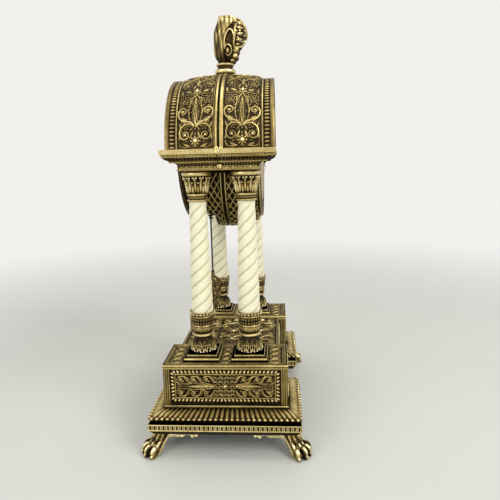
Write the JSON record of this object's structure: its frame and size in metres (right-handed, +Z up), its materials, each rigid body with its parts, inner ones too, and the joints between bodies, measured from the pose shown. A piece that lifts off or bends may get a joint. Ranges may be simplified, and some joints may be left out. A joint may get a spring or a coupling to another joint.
{
  "type": "table clock",
  "caption": "Portico table clock: end pedestals on paw feet, twisted columns, cornice, arched drum head with a hinged dial door, trellis belly, swinging pendulum and scroll finial.",
  "frame": {"origin": "centre of the footprint on the shelf", "axes": "+X towards the clock's right-hand end, -Y towards the dial side, +Z up"},
  "size_m": [0.2512, 0.1726, 0.45],
  "materials": {
    "antique_brass": "antique patina, highlights rubbed bright",
    "dark_bronze": "dark patina",
    "bright_brass": "polished, patina in the recesses",
    "ivory_stone": "polished ivory-coloured stone",
    "steel": "zinc-plated",
    "black_plastic": "moulded",
    "white_enamel": "enamel",
    "clear_glass": "clear"
  },
  "bodies": {
    "clock_body": {"pedestal_right": "antique_brass", "pedestal_left": "antique_brass", "pedestal_top_right": "antique_brass", "pedestal_top_left": "antique_brass", "middle_section": "antique_brass", "deck_panel": "antique_brass", "foot_front_right": "antique_brass", "foot_front_left": "antique_brass", "foot_rear_right": "antique_brass", "foot_rear_left": "antique_brass", "column_plinth_front_right": "antique_brass", "column_plinth_front_left": "antique_brass", "column_plinth_rear_right": "antique_brass", "column_plinth_rear_left": "antique_brass", "cornice_front": "antique_brass", "cornice_rear": "antique_brass", "canopy_front": "antique_brass", "canopy_rear": "antique_brass", "finial": "antique_brass", "end_panel_right": "dark_bronze", "end_panel_left": "dark_bronze", "column_base_front_right": "dark_bronze", "column_base_front_left": "dark_bronze", "column_base_rear_right": "dark_bronze", "column_base_rear_left": "dark_bronze", "belly_front": "dark_bronze", "belly_rear": "dark_bronze", "rear_plate": "dark_bronze", "capital_front_right": "bright_brass", "capital_front_left": "bright_brass", "capital_rear_right": "bright_brass", "capital_rear_left": "bright_brass", "dial_surround": "bright_brass", "finial_collar": "bright_brass", "column_shaft_front_right": "ivory_stone", "column_shaft_front_left": "ivory_stone", "column_shaft_rear_right": "ivory_stone", "column_shaft_rear_left": "ivory_stone", "bottom_plate": "steel", "tie_rod_front_right": "steel", "tie_rod_front_left": "steel", "tie_rod_rear_right": "steel", "tie_rod_rear_left": "steel", "tie_nut_front_right": "steel", "tie_nut_front_left": "steel", "tie_nut_rear_right": "steel", "tie_nut_rear_left": "steel", "battery": "steel", "movement_case": "black_plastic", "dial": "white_enamel"},
    "minute_hand_body": {"minute_hand": "dark_bronze", "hand_nut": "bright_brass"},
    "hour_hand_body": {"hour_hand": "dark_bronze"},
    "setting_knob_body": {"setting_knob": "black_plastic"},
    "pendulum": {"pendulum_hanger": "black_plastic", "pendulum_rod": "black_plastic", "pendulum_bob": "antique_brass"},
    "front_door_body": {"front_door": "bright_brass", "dial_glass": "clear_glass"},
    "rear_door_body": {"rear_door": "antique_brass"}
  },
  "joints": [
    {"name": "minute_turn", "type": "hinge", "parent": "clock_body", "child": "minute_hand_body", "pos_m": [0, -0.0437, 0.3023], "axis": [0, 1, 0], "continuous": true},
    {"name": "hour_turn", "type": "hinge", "parent": "clock_body", "child": "hour_hand_body", "pos_m": [0, -0.0424, 0.3023], "axis": [0, 1, 0], "continuous": true},
    {"name": "knob_turn", "type": "hinge", "parent": "clock_body", "child": "setting_knob_body", "pos_m": [0, -0.0217, 0.3023], "axis": [0, 1, 0], "continuous": true},
    {"name": "pendulum_swing", "type": "hinge", "parent": "clock_body", "child": "pendulum", "pos_m": [0, -0.0231, 0.284], "axis": [0, 1, 0], "range_deg": [-8, 8]},
    {"name": "front_door_swing", "type": "hinge", "parent": "clock_body", "child": "front_door_body", "pos_m": [-0.064, -0.0466, 0.3023], "axis": [0, 0, -1], "range_deg": [0, 100]},
    {"name": "rear_door_swing", "type": "hinge", "parent": "clock_body", "child": "rear_door_body", "pos_m": [-0.059, 0.041, 0.3023], "axis": [0, 0, 1], "range_deg": [0, 100]}
  ],
  "couplings": [
    {"joint": "hour_turn", "follows": "minute_turn", "ratio": 0.083333},
    {"joint": "knob_turn", "follows": "minute_turn", "ratio": 1}
  ]
}
